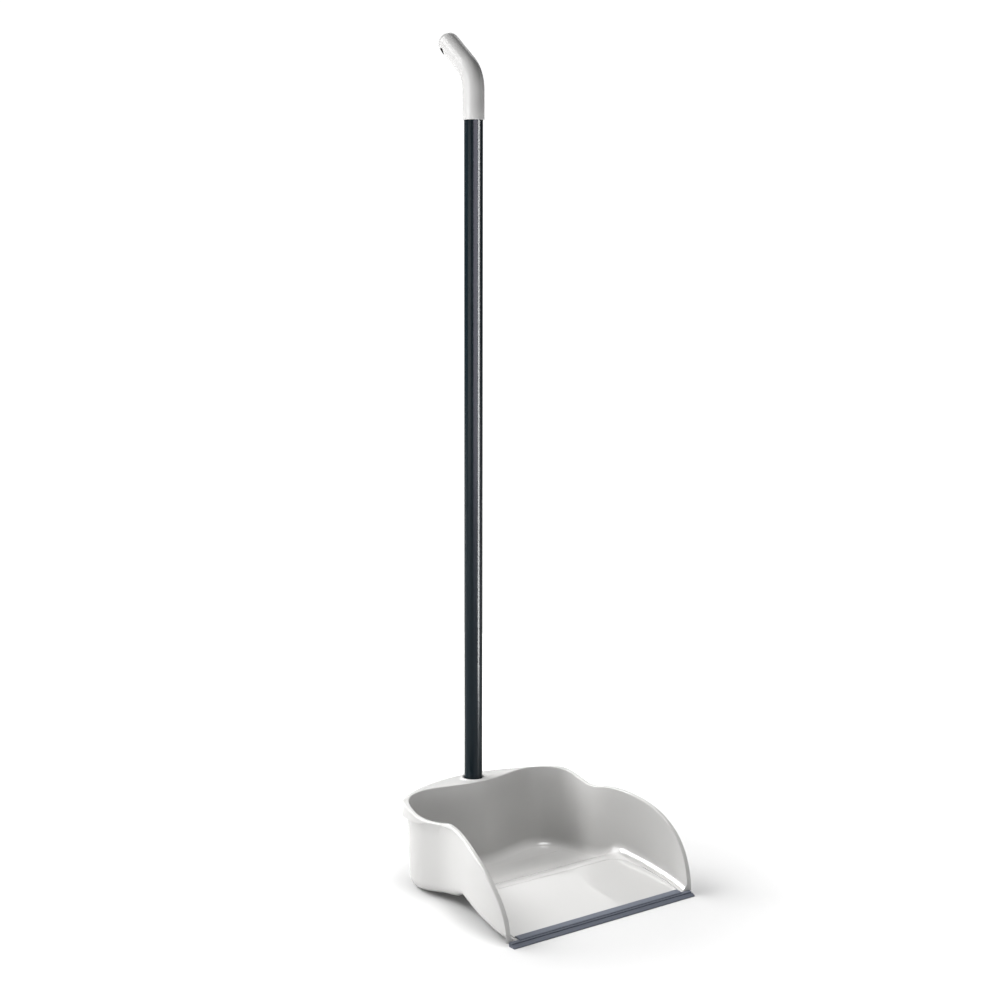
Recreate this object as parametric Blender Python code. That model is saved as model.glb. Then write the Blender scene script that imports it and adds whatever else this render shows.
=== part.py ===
"""Upright dust pan: moulded pan, rubber lip, steel tube handle with a bent grip and an end plug.

Lengths in the constants are millimetres. Y is given from the tube axis, +Y to the rear, and the
whole object is moved by TUBE_Y so that the frame's origin is the bottom centre of its bounding box.
"""
import math

import bmesh
import bpy
import numpy as np
from mathutils import Matrix, Vector

MM = 0.001
TUBE_Y = 98.55          # tube axis, behind the centre of the bounding box

# pan: control points of the inner rim in plan, right half, front to back
FRONT_Y = -247.0
SIDE_RIM = [(129.5, -247), (132.5, -226), (132, -204), (129.5, -182), (125, -160), (120, -138),
            (116, -118), (114.5, -98), (116.5, -80), (119.5, -62), (119.5, -46)]
BACK_RIM = [(116, -32), (108, -20), (97, -11), (84, -6.5), (70, -6), (52, -10), (27, -17.5), (0, -22)]
BACK_EDGE = [(123, -30), (117, -18), (107, -7), (94, 4), (77, 13), (56, 20.5), (29, 25.5), (0, 27)]
SIDE_STATIONS = [-246.2, -244.2, -240.5, -235, -227, -216, -202, -186, -172, -160, -153, -149, -146,
                 -142, -137, -132, -128, -124, -120, -116, -111, -105, -98, -90, -82, -74, -66, -59, -52, -46]
RIM_PROFILE = [(-125, 100), (-112, 98.8), (-95, 95), (-76, 93), (-58, 94.8), (-44, 98.5), (-32, 101.3),
               (-20, 102.6), (0, 103)]
SHOULDER_Y, SHOULDER_DROP, NOSE_Z, NOSE_LEN = -125.0, 94.0, 6.0, 122.0
DECK_Z, DECK_DROP = 105.0, 4.5
EDGE_W = 6.0            # width of the rolled rim
WALL, SKIRT_T, DECK_T = 2.6, 2.0, 2.6
SKIRT_PROFILE = [(-105, 95.2), (-90, 92.5), (-75, 89.5), (-55, 86), (30, 86)]
DRAFT = 0.032
BOWL_FILLET, RAMP_FILLET = 11.0, 8.5

# floor and ramp heights along Y
FLOOR_Z, CREST_Y, CREST_Z, RAMP_Z = 2.6, -147.0, 23.3, 4.0
FLOOR_PROFILE = [(-150, 24.2), (-140, 22.9), (-131, 20.4), (-123, 16.8), (-115, 13.7), (-105, 11.3),
                 (-90, 9.0), (-70, 6.2), (-52, 3.6), (-44, 2.6), (40, 2.6)]
SPINE_Y = -44.0

SOCKET_R, SOCKET_BORE_R, SOCKET_BOTTOM, SOCKET_STOP = 15.0, 11.3, 10.0, 14.0
COLLAR_R, COLLAR_Z, MOUTH_R, MOUTH_DEPTH = 15.6, 105.0, 12.5, 4.0

LIP_HALF, RIDGE_HALF, LIP_FRONT = 132.0, 118.5, -257.0
TUBE_R, TUBE_WALL, TUBE_BOTTOM, TUBE_TOP = 11.0, 0.6, 17.3, 926.0
PLUG_R, PLUG_TOP, PLUG_FLANGE = 10.1, 62.0, 3.0
GRIP_R, GRIP_BORE_R, GRIP_BOTTOM, BEND_Z = 12.8, 11.3, 894.0, 928.0
BEND_R, BEND_ANGLE, GRIP_LEG, TIP_DOME = 37.5, math.radians(52), 44.0, 10.5
HANG_R, HANG_DEPTH, HANG_SHIFT = 4.6, 17.0, -5.0


def lerp(a, b, t):
    return a + (b - a) * t


def clamp01(v):
    return min(1.0, max(0.0, v))


def smooth(v):
    v = clamp01(v)
    return v * v * (3 - 2 * v)


def catmull(points, steps):
    """Catmull-Rom curve through the points, with `steps` spans between neighbours."""
    p = [np.array(q, float) for q in points]
    p = [2 * p[0] - p[1]] + p + [2 * p[-1] - p[-2]]
    out = []
    for a, b, c, d in zip(p, p[1:], p[2:], p[3:]):
        for i in range(steps):
            t = i / steps
            out.append(0.5 * (2 * b + (c - a) * t + (2 * a - 5 * b + 4 * c - d) * t ** 2
                              + (3 * b - a - 3 * c + d) * t ** 3))
    return out + [p[-2]]


def through(points, v):
    """Value at v of a smooth curve through (v, value) points."""
    dense = catmull(points, 8)
    return float(np.interp(v, [p[0] for p in dense], [p[1] for p in dense]))


def floor_height(y):
    """Top of the floor: the ramp up to the crest, then the bowl falling gently to the rear."""
    ramp = lerp(RAMP_Z, CREST_Z, (y - FRONT_Y) / (CREST_Y - FRONT_Y))
    if y > SPINE_Y:
        return FLOOR_Z
    if y < -160:
        return ramp
    return -soft_max(-ramp, -through(FLOOR_PROFILE, y), 1.6)


def soft_max(a, b, radius):
    h = max(radius - abs(a - b), 0.0) / radius
    return max(a, b) + h * h * radius * 0.25


def rim_height(x, y):
    """Height of the inner rim edge: quarter ellipse at the front, waves and deck behind it."""
    if y <= SHOULDER_Y:
        u = min(1.0, (SHOULDER_Y - y) / NOSE_LEN)
        return NOSE_Z + SHOULDER_DROP * math.sqrt(1 - u * u)
    z = through(RIM_PROFILE, y)
    if y > -33 and x < 112:
        z = max(z, 101.8 + (DECK_Z - 101.8) * ((112 - x) / 112) ** 0.6)
    return z


def stations():
    """(inner rim, outer edge, outward direction) in plan, right half, from front to back."""
    side = catmull(SIDE_RIM, 12)
    ys, xs = [p[1] for p in side], [p[0] for p in side]
    rows = [(np.array([float(np.interp(y, ys, xs)), y]), None, np.array([1.0, 0.0]))
            for y in [FRONT_Y] + SIDE_STATIONS]
    rows = [(r, r + [EDGE_W, 0], d) for r, _, d in rows]
    inner = catmull([SIDE_RIM[-2], SIDE_RIM[-1]] + BACK_RIM, 2)[2:]
    start = (SIDE_RIM[-1][0] + EDGE_W, SIDE_RIM[-1][1])
    outer = catmull([(start[0], SIDE_RIM[-2][1]), start] + BACK_EDGE, 2)[2:]
    for i in range(1, len(inner)):
        t = inner[min(i + 1, len(inner) - 1)] - inner[i - 1]
        d = np.array([t[1], -t[0]]) / np.hypot(*t)
        if i == len(inner) - 1:
            d = np.array([0.0, 1.0])
        rows.append((inner[i], outer[i], d))
    return rows


def fillet(corner_off, z, radius, steps):
    """(offset, height) points of a floor fillet, foot first."""
    pts = []
    for i in range(steps + 1):
        a = math.pi / 2 * (1 - i / steps)
        pts.append((corner_off - radius * (1 - math.cos(a)), z + radius * (1 - math.sin(a))))
    return pts


def section(rim, edge, out):
    """One closed half section of the pan wall, from the middle of the floor round to its underside."""
    x, y = rim
    zr = rim_height(x, y)
    back = smooth((y + 44) / 22)
    drop = DECK_DROP * back * smooth((118 - x) / 40)
    zf = floor_height(y)
    spine = np.array([0.0, min(y, SPINE_Y)])
    tall = zr - zf
    ramp = smooth((-119 - y) / 14)

    def at_wall(off, z):
        q = rim + out * off
        return (q[0], q[1], z)

    def at_edge(share, inset, z):
        span = edge - rim
        q = rim + span * share - span / np.hypot(*span) * inset
        return (q[0], q[1], z)

    def lean(z):
        return -DRAFT * (zr - z)

    def across(foot, z):
        return [(*lerp(spine, np.array(foot[:2]), f), z) for f in (0, 0.3, 0.55, 0.75, 0.9)]

    rf = min(lerp(BOWL_FILLET, RAMP_FILLET, ramp), 0.8 * tall)
    foot = fillet(lean(zf + rf), zf, rf, 5)
    pts = [at_wall(o, z) for o, z in foot]
    pts = across(pts[0], zf) + pts
    top = zr - min(1.5, 0.4 * tall)
    for f in (0.33, 0.67, 1.0):
        z = lerp(foot[-1][1], top, f)
        pts.append(at_wall(lean(z), z))
    pts += [at_edge(0, -0.45, lerp(top, zr, 0.75)), at_edge(0, -1.5, zr)]
    pts += [at_edge(v, 0, zr - drop * v ** 1.5) for v in (0.35, 0.55, 0.75)]
    zo = zr - drop
    pts += [at_edge(1, 1.5, zo), at_edge(1, 0.45, lerp(top, zr, 0.75) - drop)]

    deep = smooth((y + 98) / 40)
    low = lerp(zo - min(4.0, 0.45 * (tall + WALL)), through(SKIRT_PROFILE, y), smooth((y + 112) / 12))
    join = low - min(2.0, 0.2 * (tall + WALL))
    pts += [at_edge(1, 0, zo - min(1.5, 0.3 * tall)), at_edge(1, 0, lerp(low, zo, 0.2)), at_edge(1, 0.5, low)]
    under = np.array(at_edge(1, SKIRT_T, low))
    wall = np.array(at_wall(WALL + lean(join), join))
    roof_a = np.array(at_edge(1, SKIRT_T, zo - DECK_T))
    roof_b = np.array(at_wall(WALL + 0.3, zr - DECK_T))
    pts += [tuple(under), tuple(lerp(lerp(under, wall, 0.33), roof_a, deep)),
            tuple(lerp(lerp(under, wall, 0.67), roof_b, deep)), tuple(wall)]

    zb = zf - WALL
    ro = min(rf + WALL, 0.6 * (join - zb))
    sole = [at_wall(o, z) for o, z in fillet(WALL + lean(zb + ro), zb, ro, 5)]
    z1 = zb + ro
    for f in (0.33, 0.67):
        z = lerp(join, z1, f)
        pts.append(at_wall(WALL + lean(z), z))
    pts += sole[::-1]
    return pts + across(sole[0], zb)[::-1]


def new_object(name, bm, material, collection):
    """Close, orient and name a body held in a bmesh with coordinates in millimetres."""
    bmesh.ops.scale(bm, vec=(MM, MM, MM), verts=bm.verts)
    bmesh.ops.recalc_face_normals(bm, faces=bm.faces)
    mesh = bpy.data.meshes.new(name)
    bm.to_mesh(mesh)
    bm.free()
    if material:
        mesh.materials.append(material)
    obj = bpy.data.objects.new(name, mesh)
    collection.objects.link(obj)
    return obj


def pan_shell():
    """The pan as one closed skin: half sections swept front to back and mirrored."""
    bm = bmesh.new()
    halves = [section(*row) for row in stations()]
    for sign in (1, -1):
        grid = [[bm.verts.new((sign * x, y + TUBE_Y, z)) for x, y, z in pts] for pts in halves]
        for a, b in zip(grid, grid[1:]):
            for i in range(len(a) - 1):
                bm.faces.new((a[i], a[i + 1], b[i + 1], b[i]))
        if sign == 1:
            cap = grid[0]
        else:
            bm.faces.new(cap + grid[0][::-1])
    bmesh.ops.remove_doubles(bm, verts=bm.verts, dist=0.01)
    bmesh.ops.dissolve_degenerate(bm, edges=bm.edges, dist=0.001)
    bmesh.ops.triangulate(bm, faces=[f for f in bm.faces if len(f.verts) > 4])
    return bm


def lathe(profile, segments=48, x=0.0, y=TUBE_Y):
    """Solid or hollow body turned about a vertical axis from a closed (radius, z) outline."""
    bm = bmesh.new()
    verts = [bm.verts.new((r, 0, z)) for r, z in profile]
    edges = [bm.edges.new((verts[i], verts[(i + 1) % len(verts)])) for i in range(len(verts))]
    bmesh.ops.spin(bm, geom=verts + edges, cent=(0, 0, 0), axis=(0, 0, 1), angle=2 * math.pi,
                   steps=segments, use_merge=True)
    bmesh.ops.remove_doubles(bm, verts=bm.verts, dist=0.001)
    bmesh.ops.translate(bm, vec=(x, y, 0), verts=bm.verts)
    return bm


def prism(outline, half_width):
    """Body with a (y, z) outline extruded across X."""
    bm = bmesh.new()
    ring = [[bm.verts.new((s * half_width, y + TUBE_Y, z)) for y, z in outline] for s in (-1, 1)]
    n = len(outline)
    bm.faces.new(ring[0])
    bm.faces.new(ring[1][::-1])
    for i in range(n):
        j = (i + 1) % n
        bm.faces.new((ring[0][i], ring[1][i], ring[1][j], ring[0][j]))
    bmesh.ops.triangulate(bm, faces=[f for f in bm.faces if len(f.verts) > 4])
    return bm


def boolean(target, tool, operation):
    """Apply one exact boolean with a body from the cutter collection."""
    mod = target.modifiers.new(tool.name, "BOOLEAN")
    mod.object, mod.operation, mod.solver = tool, operation, "EXACT"
    tool.hide_render = True
    tool.display_type = "WIRE"


def pan_tools(cutters):
    """Handle socket, its webs, and the bore that the tube drops into."""
    socket = lathe([(0, SOCKET_BOTTOM), (SOCKET_R - 1, SOCKET_BOTTOM), (SOCKET_R, SOCKET_BOTTOM + 1),
                    (SOCKET_R, 101), (COLLAR_R, 102), (COLLAR_R, COLLAR_Z - 0.6),
                    (COLLAR_R - 0.6, COLLAR_Z), (0, COLLAR_Z)])
    bore = lathe([(0, SOCKET_STOP), (SOCKET_BORE_R, SOCKET_STOP), (SOCKET_BORE_R, COLLAR_Z - MOUTH_DEPTH),
                  (MOUTH_R, COLLAR_Z - MOUTH_DEPTH + 1.2), (MOUTH_R, COLLAR_Z + 5), (0, COLLAR_Z + 5)])
    front_web = prism([(-20.8, 52), (-12.5, 40), (-12.5, 101), (-20.2, 101)], 1.5)
    rear_web = prism([(12.5, 88), (25.8, 92), (25.8, 99.6), (12.5, 101)], 1.5)
    return [(new_object("pan_socket", socket, None, cutters), "UNION"),
            (new_object("pan_front_web", front_web, None, cutters), "UNION"),
            (new_object("pan_rear_web", rear_web, None, cutters), "UNION"),
            (new_object("pan_bore", bore, None, cutters), "DIFFERENCE")]


def lip_outlines():
    """(y, z) outlines of the front blade and of the shorter ridge that grips the ramp edge."""
    back = FRONT_Y - 0.3
    blade = [(LIP_FRONT, 0), (back, 0), (back, 4.7), (back - 1.2, 4.9), (back - 2.0, 4.0),
             (back - 2.6, 4.3), (LIP_FRONT + 0.6, 1.2), (LIP_FRONT, 0.8)]
    gap = floor_height(-240) + 0.3
    ridge = [(back - 0.9, 2.4), (back + 0.001, 2.4), (back + 0.001, RAMP_Z + 0.45), (-240, gap),
             (-239.6, gap + 0.4), (-240.3, gap + 0.9), (back + 0.4, 5.7), (back - 0.6, 5.5)]
    return blade, ridge


def grip_axis():
    """(y, z, tilt) along the middle of the grip, bottom to tip."""
    pts = [(0.0, GRIP_BOTTOM, 0.0), (0.0, 911.0, 0.0), (0.0, BEND_Z, 0.0)]
    for i in range(1, 13):
        a = BEND_ANGLE * i / 12
        pts.append((BEND_R * (1 - math.cos(a)), BEND_Z + BEND_R * math.sin(a), a))
    y, z, a = pts[-1]
    for s in (0.5, 1.0):
        pts.append((y + GRIP_LEG * s * math.sin(a), z + GRIP_LEG * s * math.cos(a), a))
    return pts


def grip_body():
    """Round sleeve along the bent axis, closed by a low dome at the tip."""
    rings = [(y, z, a, GRIP_R - (0.8 if i == 0 else 0)) for i, (y, z, a) in enumerate(grip_axis())]
    rings.insert(1, (0.0, GRIP_BOTTOM + 0.8, 0.0, GRIP_R))
    y, z, a, _ = rings[-1]
    for i in range(1, 7):
        b = math.pi / 2 * i / 6
        d = TIP_DOME * math.sin(b)
        rings.append((y + d * math.sin(a), z + d * math.cos(a), a, max(0.02, GRIP_R * math.cos(b))))
    bm = bmesh.new()
    n = 48
    loops = []
    for y, z, a, r in rings:
        loop = []
        for j in range(n):
            t = 2 * math.pi * j / n
            across, up = r * math.cos(t), r * math.sin(t)
            loop.append(bm.verts.new((across, y + up * math.cos(a) + TUBE_Y, z - up * math.sin(a))))
        loops.append(loop)
    for a, b in zip(loops, loops[1:]):
        for j in range(n):
            bm.faces.new((a[j], a[(j + 1) % n], b[(j + 1) % n], b[j]))
    bm.faces.new(loops[0][::-1])
    bm.faces.new(loops[-1])
    return bm


def grip_tools(cutters):
    """Bore for the tube and the blind hanging hole that rises into the underside of the tip."""
    bore = lathe([(0, GRIP_BOTTOM - 5), (GRIP_BORE_R, GRIP_BOTTOM - 5), (GRIP_BORE_R, TUBE_TOP + 0.5),
                  (0, TUBE_TOP + 0.5)])
    hole = bmesh.new()
    bmesh.ops.create_cone(hole, cap_ends=True, segments=32, radius1=HANG_R, radius2=HANG_R, depth=40)
    y, z, a = grip_axis()[-1]
    mouth_y = y + HANG_SHIFT * math.sin(a) + GRIP_R * math.cos(a)
    mouth_z = z + HANG_SHIFT * math.cos(a) - GRIP_R * math.sin(a)
    bmesh.ops.translate(hole, verts=hole.verts, vec=(0, mouth_y + TUBE_Y, mouth_z + HANG_DEPTH - 20))
    return [(new_object("grip_bore", bore, None, cutters), "DIFFERENCE"),
            (new_object("grip_hang_hole", hole, None, cutters), "DIFFERENCE")]


def material(name, colour, roughness, metallic=0.0, coat=0.0):
    mat = bpy.data.materials.new(name)
    mat.use_nodes = True
    mat.diffuse_color = (*colour, 1)
    shader = mat.node_tree.nodes["Principled BSDF"]
    shader.inputs["Base Color"].default_value = (*colour, 1)
    shader.inputs["Roughness"].default_value = roughness
    shader.inputs["Metallic"].default_value = metallic
    shader.inputs["Coat Weight"].default_value = coat
    return mat


def set_origin(obj, point):
    """Move the origin without moving the body."""
    shift = Vector(point)
    obj.data.transform(Matrix.Translation(-shift))
    obj.location = shift


def main():
    for obj in list(bpy.data.objects):
        bpy.data.objects.remove(obj, do_unlink=True)
    parts = bpy.data.collections.new("upright_dust_pan")
    cutters = bpy.data.collections.new("cutters")
    for collection in (parts, cutters):
        bpy.context.scene.collection.children.link(collection)
    cutters.hide_render = True

    pan = new_object("pan_body", pan_shell(), material("pan_gloss_plastic", (0.72, 0.71, 0.70), 0.25), parts)
    for tool, operation in pan_tools(cutters):
        boolean(pan, tool, operation)

    blade, ridge = lip_outlines()
    lip = new_object("rubber_lip", prism(blade, LIP_HALF), material("slate_rubber", (0.10, 0.12, 0.15), 0.6), parts)
    boolean(lip, new_object("lip_ridge", prism(ridge, RIDGE_HALF), None, cutters), "UNION")

    tube = new_object("handle_tube", lathe([
        (TUBE_R, TUBE_BOTTOM + 0.3), (TUBE_R, TUBE_TOP), (TUBE_R - TUBE_WALL, TUBE_TOP),
        (TUBE_R - TUBE_WALL, TUBE_BOTTOM + 0.3)]), material("slate_coated_steel", (0.02, 0.035, 0.045), 0.35), parts)

    grip = new_object("handle_grip", grip_body(), material("grip_gloss_plastic", (0.75, 0.74, 0.73), 0.3), parts)
    for tool, operation in grip_tools(cutters):
        boolean(grip, tool, operation)

    plug = new_object("tube_end_plug", lathe([
        (0, TUBE_BOTTOM - PLUG_FLANGE), (TUBE_R - 1, TUBE_BOTTOM - PLUG_FLANGE),
        (TUBE_R - 0.2, TUBE_BOTTOM - PLUG_FLANGE + 0.8), (TUBE_R - 0.2, TUBE_BOTTOM),
        (PLUG_R, TUBE_BOTTOM), (PLUG_R, PLUG_TOP - 1.5), (PLUG_R - 1.5, PLUG_TOP), (7, PLUG_TOP),
        (7, TUBE_BOTTOM + 3), (0, TUBE_BOTTOM + 3)]), material("dark_plug_plastic", (0.05, 0.05, 0.055), 0.5), parts)

    for obj in (tube, grip, plug):
        set_origin(obj, (0, TUBE_Y * MM, SOCKET_STOP * MM))


main()
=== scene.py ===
import math
import bmesh
import bpy
import numpy as np
from mathutils import Matrix, Vector

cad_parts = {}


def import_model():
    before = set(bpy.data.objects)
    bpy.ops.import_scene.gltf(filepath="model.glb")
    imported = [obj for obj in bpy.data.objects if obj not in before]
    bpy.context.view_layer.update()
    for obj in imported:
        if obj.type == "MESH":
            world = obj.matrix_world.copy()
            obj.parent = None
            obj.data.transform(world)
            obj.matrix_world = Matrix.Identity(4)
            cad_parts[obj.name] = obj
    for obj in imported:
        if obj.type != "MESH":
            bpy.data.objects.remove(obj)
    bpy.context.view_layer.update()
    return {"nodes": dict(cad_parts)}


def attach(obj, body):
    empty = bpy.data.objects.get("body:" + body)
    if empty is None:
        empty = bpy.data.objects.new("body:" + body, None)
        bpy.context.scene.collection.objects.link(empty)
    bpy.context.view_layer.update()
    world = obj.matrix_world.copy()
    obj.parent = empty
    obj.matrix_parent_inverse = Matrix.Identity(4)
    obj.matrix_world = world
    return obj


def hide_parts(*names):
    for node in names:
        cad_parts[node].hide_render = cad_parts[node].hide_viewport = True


MM = 0.001
TUBE_Y = 98.55          # tube axis in the frame, mm

# pan, mm, y from the tube axis
FRONT_Y = -247.0
SIDE_RIM = [(129.5, -247), (132.5, -226), (132, -204), (129.5, -182), (125, -160), (120, -138),
            (116, -118), (114.5, -98), (116.5, -80), (119.5, -62), (119.5, -46)]
BACK_RIM = [(116, -32), (108, -20), (97, -11), (84, -6.5), (70, -6), (52, -10), (27, -17.5), (0, -22)]
BACK_EDGE = [(123, -30), (117, -18), (107, -7), (94, 4), (77, 13), (56, 20.5), (29, 25.5), (0, 27)]
RIM_PROFILE = [(-125, 100), (-112, 98.8), (-95, 95), (-76, 93), (-58, 94.8), (-44, 98.5), (-32, 101.3),
               (-20, 102.6), (0, 103)]
SHOULDER_Y, SHOULDER_DROP, NOSE_Z, NOSE_LEN = -125.0, 94.0, 6.0, 122.0
DECK_Z, DECK_DROP = 105.0, 4.5
EDGE_W = 6.0
WALL, SKIRT_T, DECK_T = 2.6, 2.0, 2.6
SKIRT_PROFILE = [(-105, 95.2), (-90, 92.5), (-75, 89.5), (-55, 86), (30, 86)]
DRAFT = 0.032
BOWL_FILLET, RAMP_FILLET = 11.0, 8.5
BANK_FRONT, BANK_REAR = 11.0, 14.5      # inner fillet beside the ramp, with a flat facet in its middle
BANK_PROFILE = [(-1, 0), (-0.84, 0.012), (-0.69, 0.045), (-0.55, 0.1), (-0.42, 0.19), (-0.305, 0.305)]
FLOOR_Z, CREST_Y, CREST_Z, RAMP_Z = 2.6, -147.0, 23.3, 4.0
FLOOR_PROFILE = [(-150, 24.2), (-140, 22.9), (-131, 20.4), (-123, 16.8), (-115, 13.7), (-105, 11.3),
                 (-90, 9.0), (-78, 6.9), (-66, 4.9), (-56, 3.5), (-48, 2.75), (-44, 2.6)]
SPINE_Y = -44.0
SOCKET_R, SOCKET_BORE_R, SOCKET_BOTTOM, SOCKET_STOP = 15.0, 11.3, 10.0, 14.0
COLLAR_R, COLLAR_Z, MOUTH_R, MOUTH_DEPTH = 15.6, 105.0, 12.5, 4.0
PANEL_RISE = 0.7
PANEL_GAP = 1.0

# lip, tube and grip, mm
LIP_HALF, RIDGE_HALF, LIP_FRONT = 132.0, 118.5, -257.0
TUBE_R, TUBE_WALL, TUBE_BOTTOM, TUBE_TOP = 11.0, 0.6, 17.6, 926.0
GRIP_R, GRIP_BORE_R, GRIP_BOTTOM, BEND_Z = 12.8, 11.3, 894.0, 928.0
BEND_R, BEND_ANGLE, GRIP_LEG, TIP_DOME = 37.5, math.radians(52), 44.0, 10.5
HANG_R, HANG_DEPTH, HANG_SHIFT = 4.6, 17.0, -5.0
MOUTH_SIDE, MOUTH_BACK = (-0.82, 0.34, -0.46), 6.0     # mouth on the side of the grip, darkened inside by a painted-shade disc
MOUTH_RADII, MOUTH_DEPTHS = (4.6, 4.2), (-7.0, 4.0)
# painted shade: a near-black disc that fills the mouth to 0.5 mm below the surface, in place of the shade
# deep in the hole
SHADE_DISC_RADII, SHADE_DISC_DEPTHS = (4.5, 4.1), (-6.9, -0.5)
STEPS, RELAX_ROUNDS = 16, 60      # points between two given ones in plan, and how often they are evened out

CAM = (-1.2426, -1.61065, 0.7584)
YAW, PITCH, ROLL, LENS = 0.64369, 0.14602, 0.00253, 64.135


def lerp(a, b, t):
    return a + (b - a) * t


def smooth(v):
    v = min(1.0, max(0.0, v))
    return v * v * (3 - 2 * v)


def catmull(points, steps):
    p = [np.array(q, float) for q in points]
    p = [2 * p[0] - p[1]] + p + [2 * p[-1] - p[-2]]
    out = []
    for a, b, c, d in zip(p, p[1:], p[2:], p[3:]):
        for i in range(steps):
            t = i / steps
            out.append(0.5 * (2 * b + (c - a) * t + (2 * a - 5 * b + 4 * c - d) * t ** 2
                              + (3 * b - a - 3 * c + d) * t ** 3))
    return out + [p[-2]]


def through(points, v):
    """Value at v of a smooth curve through (v, value) points."""
    dense = catmull(points, 12)
    return float(np.interp(v, [p[0] for p in dense], [p[1] for p in dense]))


def soft_max(a, b, radius):
    h = max(radius - abs(a - b), 0.0) / radius
    return max(a, b) + h * h * radius * 0.25


def floor_height(y):
    ramp = lerp(RAMP_Z, CREST_Z, (y - FRONT_Y) / (CREST_Y - FRONT_Y))
    if y > SPINE_Y:
        return FLOOR_Z
    if y < -160:
        return ramp
    return -soft_max(-ramp, -through(FLOOR_PROFILE, y), 1.6)


def rim_height(x, y):
    if y <= SHOULDER_Y:
        u = min(1.0, (SHOULDER_Y - y) / NOSE_LEN)
        return NOSE_Z + SHOULDER_DROP * math.sqrt(1 - u * u)
    z = through(RIM_PROFILE, y)
    if y > -33 and x < 112:
        z = max(z, 101.8 + (DECK_Z - 101.8) * ((112 - x) / 112) ** 0.6)
    return z


def relax(path, rounds):
    """Evens out the bends of a path whose ends stay put."""
    p = np.array(path)
    for _ in range(rounds):
        p[1:-1] = 0.25 * p[:-2] + 0.5 * p[1:-1] + 0.25 * p[2:]
    return p


def stations():
    """(inner rim, outer edge, outward direction) in plan, right half, from front to back."""
    mirror = [(-x, y) for x, y in BACK_RIM[-2::-1]][:3]
    inner = relax(catmull(SIDE_RIM + BACK_RIM + mirror, STEPS), RELAX_ROUNDS)[:-3 * STEPS]
    start = (SIDE_RIM[-1][0] + EDGE_W, SIDE_RIM[-1][1])
    edge = [(x + EDGE_W, y) for x, y in SIDE_RIM[:-1]] + [start] + BACK_EDGE
    mirror = [(-x, y) for x, y in BACK_EDGE[-2::-1]][:3]
    outer = relax(catmull(edge + mirror, STEPS), RELAX_ROUNDS)[:-3 * STEPS]
    split = STEPS * (len(SIDE_RIM) - 1)
    angle = math.asin(min(1.0, (SHOULDER_Y - FRONT_Y) / NOSE_LEN))
    ys = [SHOULDER_Y - NOSE_LEN * math.sin(angle * (1 - i / 44)) for i in range(44)]
    fine = [y for y in ys if y < -162]
    y = fine[-1]
    while y < -46.8:
        y += 1.2 if -155 < y < -100 else 2.6
        fine.append(min(y, -46.0))
    side_y, side_x = inner[:split + 1, 1], inner[:split + 1, 0]
    rows = []
    for y in fine:
        r = np.array([float(np.interp(y, side_y, side_x)), y])
        rows.append((r, r + [EDGE_W, 0], np.array([1.0, 0.0])))
    for i in range(split + 2, len(inner) - 2, 2):
        t = inner[i + 1] - inner[i - 1]
        rows.append((inner[i], outer[i], np.array([t[1], -t[0]]) / np.hypot(*t)))
    rows.append((np.array([0.0, inner[-1][1]]), np.array([0.0, outer[-1][1]]), np.array([0.0, 1.0])))
    return rows


def arc(cx, cz, r, a0, a1, steps):
    """(offset, height) points of an arc, angles in degrees from the +offset axis."""
    return [(cx + r * math.cos(math.radians(lerp(a0, a1, i / steps))),
             cz + r * math.sin(math.radians(lerp(a0, a1, i / steps)))) for i in range(steps + 1)]


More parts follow.
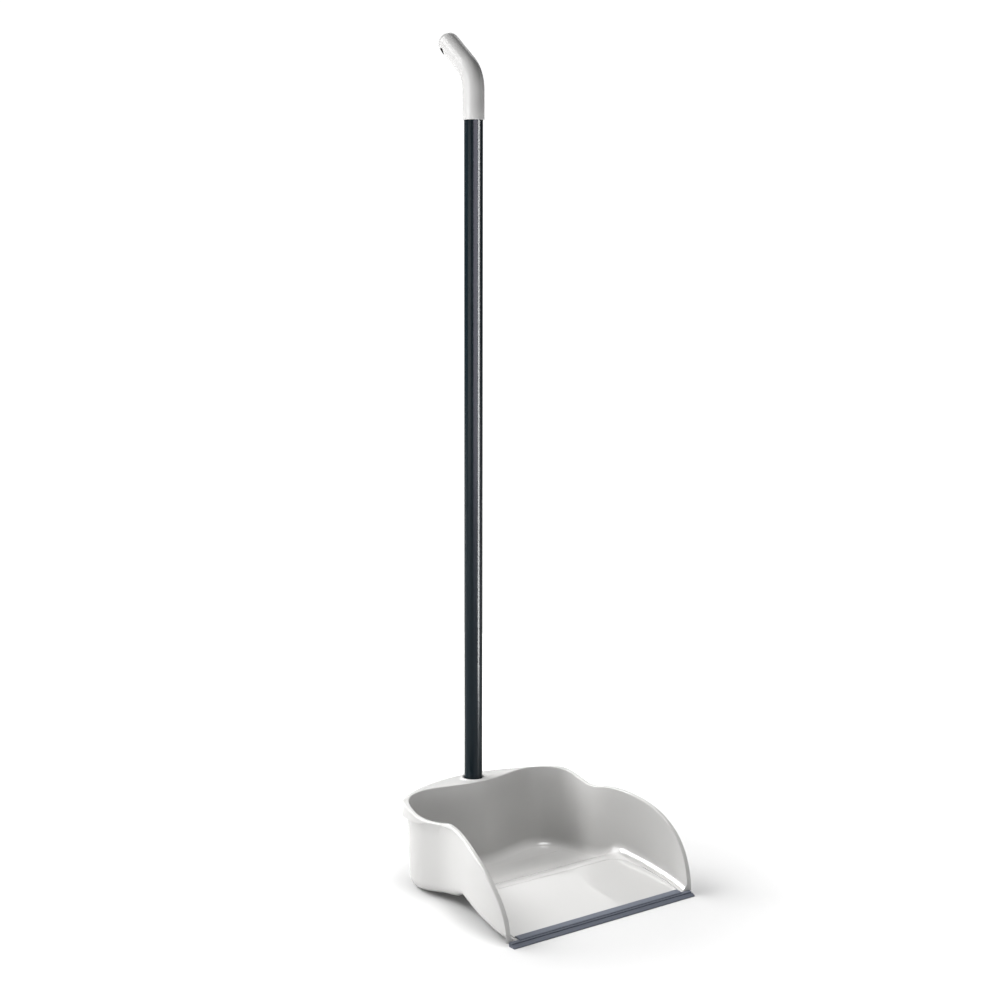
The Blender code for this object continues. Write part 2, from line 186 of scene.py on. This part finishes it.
def section(rim, edge, out):
    """One half section of the pan wall, from the middle of the floor round to its underside."""
    x, y = rim
    zr = rim_height(x, y)
    back = smooth((y + 44) / 22)
    drop = DECK_DROP * back * smooth((118 - x) / 40)
    zf = floor_height(y)
    spine = np.array([0.0, min(y, SPINE_Y)])
    tall = zr - zf
    ramp = smooth((-119 - y) / 14)

    def at_wall(off, z):
        q = rim + out * off
        return (q[0], q[1], z)

    span = edge - rim
    width = np.hypot(*span)

    def at_edge(share, inset, z):
        q = rim + span * share - span / width * inset
        return (q[0], q[1], z)

    def lean(z):
        return -DRAFT * (zr - z)

    def across(foot, z):
        shares = [0, 0.15, 0.3, 0.45, 0.58, 0.7, 0.8, 0.88, 0.94, 0.98]
        return [(*lerp(spine, np.array(foot[:2]), f), z) for f in shares]

    bank = lerp(BANK_FRONT, BANK_REAR, min(1.0, (y - FRONT_Y) / (CREST_Y - FRONT_Y)))
    rf = min(lerp(BOWL_FILLET, bank, ramp), 0.8 * tall)
    facet = BANK_PROFILE + [(-v, -u) for u, v in BANK_PROFILE[-2::-1]]
    pts = []
    for (ao, az), (u, v) in zip(arc(-rf, rf, rf, -90, 0, 10), facet):
        pts.append(at_wall(lean(zf + rf) + lerp(ao, u * rf, ramp), zf + lerp(az, v * rf, ramp)))
    pts = across(pts[0], zf) + pts
    ri = min(1.3, 0.3 * tall)
    ro = min(2.1, 0.4 * tall)
    for f in (0.2, 0.4, 0.6, 0.8, 1.0):
        z = lerp(zf + rf, zr - ri, f)
        pts.append(at_wall(lean(z), z))
    pts += [at_edge(0, -o, z) for o, z in arc(ri, zr - ri, ri, 180, 90, 4)[1:]]
    pts += [at_edge(v, 0, zr - drop * v ** 1.5) for v in (0.32, 0.45, 0.58)]
    zo = zr - drop
    pts += [at_edge(1, ro - o, z) for o, z in arc(0, zo - ro, ro, 90, 0, 5)]

    deep = smooth((y + 98) / 40)
    low = lerp(zo - min(4.0, 0.45 * (tall + WALL)), through(SKIRT_PROFILE, y), smooth((y + 112) / 12))
    join = low - min(2.0, 0.2 * (tall + WALL))
    pts += [at_edge(1, 0, lerp(low, zo, 0.25)), at_edge(1, 0, lerp(low, zo, 0.12))]
    pts += [at_edge(1, 0.25, low + 0.15), at_edge(1, 0.6, low)]
    under = np.array(at_edge(1, SKIRT_T, low))
    wall = np.array(at_wall(WALL + lean(join), join))
    roof_a = np.array(at_edge(1, SKIRT_T, zo - DECK_T))
    roof_b = np.array(at_wall(WALL + 0.3, zr - DECK_T))
    pts += [tuple(under), tuple(lerp(lerp(under, wall, 0.33), roof_a, deep)),
            tuple(lerp(lerp(under, wall, 0.67), roof_b, deep)), tuple(wall)]

    zb = zf - WALL
    rb = min(lerp(BOWL_FILLET, RAMP_FILLET, ramp) + WALL, 0.6 * (join - zb))
    for f in (0.2, 0.4, 0.6, 0.8):
        z = lerp(join, zb + rb, f)
        pts.append(at_wall(WALL + lean(z), z))
    sole = [at_wall(o, z) for o, z in arc(WALL + lean(zb + rb) - rb, zb + rb, rb, 0, -90, 10)]
    return pts + sole + across(sole[-1], zb)[::-1]


# ---------------------------------------------------------------- mesh helpers
def new_object(name, bm, body=None, mat=None, sharp=35):
    """Names a bmesh held in mm, shades it smooth with sharp edges kept, and lets it ride on a body."""
    bmesh.ops.scale(bm, vec=(MM, MM, MM), verts=bm.verts)
    bmesh.ops.recalc_face_normals(bm, faces=bm.faces)
    for f in bm.faces:
        f.smooth = True
    for e in bm.edges:
        e.smooth = len(e.link_faces) != 2 or e.calc_face_angle(0) < math.radians(sharp)
    mesh = bpy.data.meshes.new(name)
    bm.to_mesh(mesh)
    bm.free()
    if mat:
        mesh.materials.append(mat)
    obj = bpy.data.objects.new(name, mesh)
    bpy.context.scene.collection.objects.link(obj)
    if body:
        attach(obj, body)
    return obj


def boolean(obj, tools, operation="DIFFERENCE", sharp=35):
    """Cuts or joins bodies for good, then removes the tools."""
    for tool in tools:
        mod = obj.modifiers.new("cut", "BOOLEAN")
        mod.object, mod.operation, mod.solver = tool, operation, "EXACT"
    bpy.context.view_layer.update()
    mesh = bpy.data.meshes.new_from_object(obj.evaluated_get(bpy.context.evaluated_depsgraph_get()))
    obj.modifiers.clear()
    obj.data = mesh
    bm = bmesh.new()
    bm.from_mesh(mesh)
    for f in bm.faces:
        f.smooth = True
    for e in bm.edges:
        e.smooth = len(e.link_faces) != 2 or e.calc_face_angle(0) < math.radians(sharp)
    bm.to_mesh(mesh)
    bm.free()
    for tool in tools:
        bpy.data.objects.remove(tool)


def pan_shell():
    bm = bmesh.new()
    halves = [section(*row) for row in stations()]
    for sign in (1, -1):
        grid = [[bm.verts.new((sign * x, y + TUBE_Y, z)) for x, y, z in pts] for pts in halves]
        for a, b in zip(grid, grid[1:]):
            for i in range(len(a) - 1):
                bm.faces.new((a[i], a[i + 1], b[i + 1], b[i]))
        if sign == 1:
            cap = grid[0]
        else:
            bm.faces.new(cap + grid[0][::-1])
    bmesh.ops.remove_doubles(bm, verts=bm.verts, dist=0.004)
    bmesh.ops.dissolve_degenerate(bm, edges=bm.edges, dist=0.001)
    return bm


def lathe(profile, segments=96, y=TUBE_Y):
    bm = bmesh.new()
    verts = [bm.verts.new((r, 0, z)) for r, z in profile]
    edges = [bm.edges.new((verts[i], verts[(i + 1) % len(verts)])) for i in range(len(verts))]
    bmesh.ops.spin(bm, geom=verts + edges, cent=(0, 0, 0), axis=(0, 0, 1), angle=2 * math.pi,
                   steps=segments, use_merge=True)
    bmesh.ops.remove_doubles(bm, verts=bm.verts, dist=0.001)
    bmesh.ops.translate(bm, vec=(0, y, 0), verts=bm.verts)
    return bm


def prism(outline, half_width):
    bm = bmesh.new()
    ring = [[bm.verts.new((s * half_width, y + TUBE_Y, z)) for y, z in outline] for s in (-1, 1)]
    n = len(outline)
    bm.faces.new(ring[0])
    bm.faces.new(ring[1][::-1])
    for i in range(n):
        j = (i + 1) % n
        bm.faces.new((ring[0][i], ring[1][i], ring[1][j], ring[0][j]))
    return bm


# ---------------------------------------------------------------- materials
def plastic(name, colour, rough, grain=900.0, bump=0.02, wear=0.04, spec=0.5):
    """Principled finish whose colour, roughness and surface vary a little with procedural noise."""
    mat = bpy.data.materials.new(name)
    mat.use_nodes = True
    nt = mat.node_tree
    sh = nt.nodes["Principled BSDF"]
    co = nt.nodes.new("ShaderNodeTexCoord")
    fine = nt.nodes.new("ShaderNodeTexNoise")
    fine.inputs["Scale"].default_value = grain
    fine.inputs["Detail"].default_value = 3
    broad = nt.nodes.new("ShaderNodeTexNoise")
    broad.inputs["Scale"].default_value = 14.0
    broad.inputs["Detail"].default_value = 6
    for n in (fine, broad):
        nt.links.new(co.outputs["Object"], n.inputs["Vector"])
    r = nt.nodes.new("ShaderNodeMapRange")
    r.inputs["To Min"].default_value = rough * (1 - 3 * wear)
    r.inputs["To Max"].default_value = rough * (1 + 4 * wear) + wear * 0.1
    nt.links.new(broad.outputs["Fac"], r.inputs["Value"])
    nt.links.new(r.outputs["Result"], sh.inputs["Roughness"])
    mix = nt.nodes.new("ShaderNodeMix")
    mix.data_type = "RGBA"
    mix.inputs["A"].default_value = (*[c * (1 - wear * 0.5) for c in colour], 1)
    mix.inputs["B"].default_value = (*[min(1, c * (1 + wear * 0.5)) for c in colour], 1)
    nt.links.new(broad.outputs["Fac"], mix.inputs["Factor"])
    nt.links.new(mix.outputs["Result"], sh.inputs["Base Color"])
    b = nt.nodes.new("ShaderNodeBump")
    b.inputs["Strength"].default_value = bump
    b.inputs["Distance"].default_value = 0.0004
    nt.links.new(fine.outputs["Fac"], b.inputs["Height"])
    nt.links.new(b.outputs["Normal"], sh.inputs["Normal"])
    sh.inputs["Specular IOR Level"].default_value = spec
    return mat


# ---------------------------------------------------------------- pieces
def build_pan(mat):
    pan = new_object("pan_shell", pan_shell(), None, mat)
    hole = new_object("hole", lathe([(0, 90), (MOUTH_R + 1.2, 90), (MOUTH_R + 1.2, 112), (0, 112)]))
    recess = new_object("recess", panel_body(((-PANEL_GAP, -0.5), (-PANEL_GAP, 3.0))))
    boolean(pan, [hole, recess])
    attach(pan, "pan")
    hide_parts("pan_body")
    r = COLLAR_R
    z = COLLAR_Z
    flare = [(r + 2.2, z - 2.9), (r + 2.0, z - 1.65), (r + 1.0, z - 1.25), (r + 0.35, z - 0.7), (r, z - 0.4),
             (r - 0.25, z - 0.12), (r - 0.7, z), (MOUTH_R + 0.6, z), (MOUTH_R + 0.15, z - 0.15),
             (MOUTH_R, z - 0.6)]
    shaft = [(0, SOCKET_BOTTOM), (SOCKET_R - 1, SOCKET_BOTTOM), (SOCKET_R, SOCKET_BOTTOM + 1),
             (SOCKET_R, 101)]
    bore = [(MOUTH_R, COLLAR_Z - MOUTH_DEPTH + 1.2), (SOCKET_BORE_R, COLLAR_Z - MOUTH_DEPTH),
            (SOCKET_BORE_R, SOCKET_STOP), (0, SOCKET_STOP)]
    socket = new_object("handle_socket", lathe(shaft + flare + bore), "pan", mat)
    webs = [([(-20.8, 52), (-13.5, 40), (-13.5, 101), (-20.2, 101)], "front"),
            ([(13.5, 88), (25.8, 92), (25.8, 99.6), (13.5, 101)], "rear")]
    for outline, side in webs:
        web = new_object("socket_web_" + side, prism(outline, 1.5), "pan", mat)


def panel_outline():
    rows = stations()
    side = [(r[0] - DRAFT * (rim_height(*r) - floor_height(r[1])) - lerp(9.0, 11.5, (r[1] + 247) / 100), r[1])
            for r, _, _ in rows if -241.5 < r[1] < -180]
    rear, radius = CREST_Y - 3.5, 26.0
    last = side[-1][0] - 4.5
    half = side + [(last + 0.4, rear - radius)]
    half += [(last - radius + radius * math.cos(a), rear - radius + radius * math.sin(a))
             for a in np.linspace(0.15, math.pi / 2, 12)]
    return half + [(-x, y) for x, y in half[::-1]]


def panel_body(steps):
    """Closed body over the panel outline, from (inset, lift above the ramp) rings, bottom first."""
    outline = panel_outline()
    n = len(outline)
    bm = bmesh.new()
    loops = []
    for inset, lift in steps:
        loop = []
        for i, (x, y) in enumerate(outline):
            a, b = outline[i - 1], outline[(i + 1) % n]
            t = np.array([b[0] - a[0], b[1] - a[1]], float)
            q = np.array([x, y]) + np.array([-t[1], t[0]]) / max(1e-6, np.hypot(*t)) * inset
            loop.append(bm.verts.new((q[0], q[1] + TUBE_Y, floor_height(q[1]) + lift)))
        loops.append(loop)
    for a, b in zip(loops, loops[1:]):
        for i in range(n):
            bm.faces.new((a[i], a[(i + 1) % n], b[(i + 1) % n], b[i]))
    bm.faces.new(loops[-1])
    bm.faces.new(loops[0][::-1])
    return bm


def build_panel(mat):
    """Raised panel that lies in a shallow recess of the ramp, with round rear corners and soft edges."""
    steps = ((0, -0.45), (0, 0.15), (0.15, 0.45), (0.45, 0.62), (0.9, PANEL_RISE))
    panel = new_object("ramp_panel", panel_body(steps), "pan", mat, sharp=50)


def build_lip(mat):
    back = FRONT_Y - 0.3
    blade = [(LIP_FRONT, 0), (back, 0), (back, 4.9), (back - 3.6, 4.5), (back - 4.2, 4.1), (back - 4.5, 2.9),
             (back - 4.9, 2.5), (back - 5.4, 2.8), (back - 5.7, 3.3), (back - 6.4, 3.4),
             (LIP_FRONT + 0.9, 1.7),
             (LIP_FRONT + 0.2, 1.3), (LIP_FRONT, 0.9)]
    gap = floor_height(-240) + 0.3
    ridge = [(back - 2.6, 2.4), (back + 0.001, 2.4), (back + 0.001, RAMP_Z + 0.45), (-240, gap),
             (-239.6, gap + 0.4), (-240.3, gap + 0.9), (back + 0.4, 6.3),
             (back - 1.4, 6.0), (back - 2.3, 5.4)]
    lip = new_object("lip_blade", prism(blade, LIP_HALF), None, mat, sharp=20)
    top = new_object("lip_ridge", prism(ridge, RIDGE_HALF))
    boolean(lip, [top], "UNION", sharp=20)
    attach(lip, "pan")
    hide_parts("rubber_lip")


def build_tube(mat):
    ri = TUBE_R - TUBE_WALL
    wall = [(TUBE_R - 0.2, TUBE_BOTTOM), (TUBE_R, TUBE_BOTTOM + 0.2), (TUBE_R, TUBE_TOP), (ri, TUBE_TOP),
            (ri, TUBE_BOTTOM)]
    tube = new_object("steel_tube", lathe(wall), "handle", mat)
    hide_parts("handle_tube")
    return tube


def grip_axis():
    pts = [(0.0, GRIP_BOTTOM, 0.0), (0.0, 911.0, 0.0), (0.0, BEND_Z - 6, 0.0)]
    for i in range(0, 41):
        a = BEND_ANGLE * i / 40
        pts.append((BEND_R * (1 - math.cos(a)), BEND_Z + BEND_R * math.sin(a), a))
    y, z, a = pts[-1]
    for s in (0.25, 0.5, 0.75, 1.0):
        pts.append((y + GRIP_LEG * s * math.sin(a), z + GRIP_LEG * s * math.cos(a), a))
    return pts


def oval_peg(where, along, across, radii, depths):
    """Oval cylinder about the direction across, its long radius along the grip."""
    bm = bmesh.new()
    third = across.cross(along)
    n = 48
    rings = []
    for d in depths:
        ring = []
        for t in np.linspace(0, 2 * math.pi, n, endpoint=False):
            oval = along * (radii[0] * math.cos(t)) + third * (radii[1] * math.sin(t))
            ring.append(bm.verts.new(where + across * d + oval))
        rings.append(ring)
    for i in range(n):
        bm.faces.new((rings[0][i], rings[0][(i + 1) % n], rings[1][(i + 1) % n], rings[1][i]))
    bm.faces.new(rings[0][::-1])
    bm.faces.new(rings[1])
    return bm


def grip_shell(axis):
    """Round bar along the axis, with a softened lower edge and a domed tip."""
    rings = [(0.0, GRIP_BOTTOM, 0.0, GRIP_R - 0.7), (0.0, GRIP_BOTTOM + 0.2, 0.0, GRIP_R - 0.25),
             (0.0, GRIP_BOTTOM + 0.7, 0.0, GRIP_R)] + [(y, z, a, GRIP_R) for y, z, a in axis[1:]]
    y, z, a, _ = rings[-1]
    for i in range(1, 17):
        b = math.pi / 2 * i / 16
        d = TIP_DOME * math.sin(b)
        rings.append((y + d * math.sin(a), z + d * math.cos(a), a, max(0.02, GRIP_R * math.cos(b) ** 0.85)))
    bm = bmesh.new()
    n = 96
    loops = []
    for y, z, a, r in rings:
        loop = []
        for j in range(n):
            t = 2 * math.pi * j / n
            across, up = r * math.cos(t), r * math.sin(t)
            loop.append(bm.verts.new((across, y + up * math.cos(a) + TUBE_Y, z - up * math.sin(a))))
        loops.append(loop)
    for a, b in zip(loops, loops[1:]):
        for j in range(n):
            bm.faces.new((a[j], a[(j + 1) % n], b[(j + 1) % n], b[j]))
    bm.faces.new(loops[0][::-1])
    bm.faces.new(loops[-1])
    return bm


def rod(radius, low, high):
    """Lathe profile of a plain rod."""
    return [(0, low), (radius, low), (radius, high), (0, high)]


def build_grip(mat, dark):
    axis = grip_axis()
    grip = new_object("bent_grip", grip_shell(axis), None, mat)
    bore = new_object("bore", lathe(rod(GRIP_BORE_R, GRIP_BOTTOM - 5, TUBE_TOP + 0.5)))
    y, z, a = axis[-1]
    my = y + HANG_SHIFT * math.sin(a) + GRIP_R * math.cos(a)
    mz = z + HANG_SHIFT * math.cos(a) - GRIP_R * math.sin(a)
    hole = new_object("hang", lathe(rod(HANG_R, mz - 23, mz + HANG_DEPTH), 64, TUBE_Y + my))
    along, side = Vector((0, math.sin(a), math.cos(a))), Vector(MOUTH_SIDE).normalized()
    mid = Vector((0, y, z)) - along * MOUTH_BACK + Vector((0, TUBE_Y, 0)) + side * GRIP_R
    mouth = new_object("mouth", oval_peg(mid, along, side, MOUTH_RADII, MOUTH_DEPTHS))
    boolean(grip, [bore, hole, mouth])
    # painted shade: a near-black disc in the side mouth that stands in for the shade inside the hole
    peg = oval_peg(mid, along, side, SHADE_DISC_RADII, SHADE_DISC_DEPTHS)
    shade_disc = new_object("hang_mouth_painted_shade", peg, "handle", dark)
    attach(grip, "handle")
    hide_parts("handle_grip")
    return grip


# ---------------------------------------------------------------- stage
def add_camera():
    f = Vector((math.sin(YAW) * math.cos(PITCH), math.cos(YAW) * math.cos(PITCH), -math.sin(PITCH)))
    r = Vector((math.cos(YAW), -math.sin(YAW), 0))
    u = r.cross(f)
    r2, u2 = r * math.cos(ROLL) + u * math.sin(ROLL), u * math.cos(ROLL) - r * math.sin(ROLL)
    m = Matrix((r2, u2, -f)).transposed().to_4x4()
    m.translation = Vector(CAM)
    cam = bpy.data.objects.new("camera", bpy.data.cameras.new("camera"))
    bpy.context.scene.collection.objects.link(cam)
    cam.matrix_world = m
    cam.data.lens, cam.data.sensor_width = LENS, 36
    cam.data.clip_end = 100
    bpy.context.scene.camera = cam


def area(name, where, target, size, power, colour=(1, 1, 1)):
    data = bpy.data.lights.new(name, "AREA")
    data.shape, data.size, data.size_y, data.energy, data.color = "RECTANGLE", size[0], size[1], power, colour
    obj = bpy.data.objects.new(name, data)
    bpy.context.scene.collection.objects.link(obj)
    obj.location = where
    obj.visible_camera = False
    obj.rotation_euler = (Vector(target) - Vector(where)).to_track_quat("-Z", "Y").to_euler()
    return obj


def receivers(name, obj, state="INCLUDE"):
    """Collection for light linking that holds one object, which it lights or leaves out."""
    group = bpy.data.collections.new(name)
    group.objects.link(obj)
    group.collection_objects[0].light_linking.link_state = state
    return group


def link(light, group, reflections_only=False):
    light.light_linking.receiver_collection = group
    light.visible_diffuse = not reflections_only


def add_world():
    world = bpy.data.worlds.new("world")
    bpy.context.scene.world = world
    world.use_nodes = True
    bg = world.node_tree.nodes["Background"]
    bg.inputs[0].default_value = (0.98, 0.99, 1.0, 1)
    bg.inputs[1].default_value = 0.05


def add_lights(tube, grip):
    pan, ramp_side = (0, 0, 0.1), (0.12, -0.08, 0.02)
    area("left", (-2.6, 0.0, 0.6), (0, 0, 0.4), (1.8, 0.9), 18)
    area("high_back_right", (3.0, 3.0, 3.8), pan, (3.4, 2.4), 40)
    others = receivers("other_light_receivers", grip, "EXCLUDE")
    link(area("overhead", (0.2, -0.5, 5.2), pan, (2.0, 2.0), 168), others)
    link(area("high_back_left", (-2.6, 2.6, 4.5), pan, (2.8, 2.8), 118), others)
    link(area("low_back_left", (-1.35, 3.4, 2.7), pan, (3.2, 2.9), 170), others)
    link(area("ramp_side_glint", (-1.4, 1.0, 2.35), ramp_side, (1.5, 0.9), 85), others, True)
    grip_only = receivers("grip_light_receivers", grip)
    link(area("grip_left", (-2.4, 0.2, 1.1), (0, 0.1, 0.9), (1.5, 1.8), 35), grip_only)
    link(area("grip_high", (-1.3, 1.3, 2.3), (0, 0.1, 0.9), (1.4, 1.4), 34), grip_only)
    tube_only = receivers("tube_light_receivers", tube)
    link(area("tube_strip", (0.45, -0.585, 0.42), (0, 0.1, 0.42), (0.24, 1.6), 74), tube_only, True)
    sheen = area("tube_sheen", (-0.52, -2.85, 0.8), (0, 0.1, 0.5), (3.0, 2.6), 250, (0.94, 0.86, 1.0))
    link(sheen, tube_only, True)


def card_object(name, near, far, mat):
    """Flat card square to the view, from two (distance, half width, height) edges."""
    away, side = Vector((math.sin(YAW), math.cos(YAW), 0)), Vector((math.cos(YAW), -math.sin(YAW), 0))
    corners = [away * d + side * s * w + Vector((0, 0, z)) for d, w, z in (near, far) for s in (-1, 1)]
    mesh = bpy.data.meshes.new(name)
    mesh.from_pydata(corners, [], [(0, 1, 3, 2)])
    mesh.materials.append(mat)
    card = bpy.data.objects.new(name, mesh)
    bpy.context.scene.collection.objects.link(card)
    return card


def floor_material():
    """White floor with painted light: it glows more and more away from the object, so that it meets the
    backdrop without an edge, while near the object it does not glow and its shadows stay.
    """
    white = plastic("floor_white", (0.68, 0.68, 0.68), 0.75, grain=60, bump=0.0, wear=0.0, spec=0.1)
    nt = white.node_tree
    co, far = nt.nodes.new("ShaderNodeTexCoord"), nt.nodes.new("ShaderNodeVectorMath")
    far.operation = "LENGTH"
    # painted light: emission strength that rises from 0 at 0.2 m to 0.5 at 0.55 m from the object
    glow = nt.nodes.new("ShaderNodeMapRange")
    glow.interpolation_type = "SMOOTHSTEP"
    for name, value in (("From Min", 0.2), ("From Max", 0.55), ("To Min", 0.0), ("To Max", 0.5)):
        glow.inputs[name].default_value = value
    nt.links.new(co.outputs["Object"], far.inputs[0])
    nt.links.new(far.outputs["Value"], glow.inputs["Value"])
    sh = nt.nodes["Principled BSDF"]
    sh.inputs["Emission Color"].default_value = (1, 1, 1, 1)
    nt.links.new(glow.outputs["Result"], sh.inputs["Emission Strength"])
    return white


def backdrop_material():
    white = bpy.data.materials.new("backdrop_white")
    white.use_nodes = True
    sh = white.node_tree.nodes["Principled BSDF"]
    sh.inputs["Base Color"].default_value = (0.05, 0.05, 0.05, 1)
    sh.inputs["Emission Color"].default_value = (1, 1, 1, 1)
    sh.inputs["Emission Strength"].default_value = 1.04
    return white


def build_stage(tube, grip):
    bpy.context.scene.view_settings.view_transform = "Standard"
    add_world()
    add_lights(tube, grip)
    bm = bmesh.new()
    bmesh.ops.create_grid(bm, x_segments=1, y_segments=1, size=20)
    mesh = bpy.data.meshes.new("floor")
    bm.to_mesh(mesh)
    bm.free()
    mesh.materials.append(floor_material())
    floor = bpy.data.objects.new("floor", mesh)
    bpy.context.scene.collection.objects.link(floor)
    wall = card_object("backdrop", (1.35, 1.35, 0.002), (12, 5.2, 3.4), backdrop_material())
    grey = plastic("flag_grey", (0.55, 0.55, 0.55), 0.9, grain=50, bump=0.0, wear=0.0, spec=0.0)
    card = card_object("grey_flag", (0.75, 0.9, 0.004), (0.75, 0.9, 0.36), grey)
    card.visible_camera = card.visible_diffuse = card.visible_shadow = False
    glow_receivers = receivers("glow_receivers", tube, "EXCLUDE")
    floor.light_linking.receiver_collection = glow_receivers
    wall.light_linking.receiver_collection = glow_receivers


def main():
    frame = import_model()
    white = plastic("pan_gloss", (0.60, 0.596, 0.587), 0.06, grain=700, bump=0.012, wear=0.03, spec=0.42)
    build_pan(white)
    build_panel(white)
    build_lip(plastic("lip_rubber", (0.128, 0.142, 0.176), 0.5, grain=1500, bump=0.08, wear=0.08, spec=0.3))
    slate = plastic("tube_coating", (0.008, 0.017, 0.023), 0.22, grain=1200, bump=0.03, wear=0.06, spec=0.15)
    tube = build_tube(slate)
    dark = plastic("plug_plastic", (0.02, 0.02, 0.022), 0.5, grain=600, bump=0.05, wear=0.1)
    gloss = plastic("grip_gloss", (0.51, 0.507, 0.503), 0.2, grain=800, bump=0.015, wear=0.03, spec=0.3)
    # painted shade: near-black material for the disc in the grip's side mouth, standing in for the shade
    # inside the hole
    hole = plastic("hole_painted_shade", (0.004, 0.004, 0.004), 0.9, grain=600, bump=0.02, wear=0.1, spec=0.02)
    grip = build_grip(gloss, hole)
    plug = frame["nodes"]["tube_end_plug"]
    plug.data.materials.clear()
    plug.data.materials.append(dark)
    add_camera()
    build_stage(tube, grip)


main()
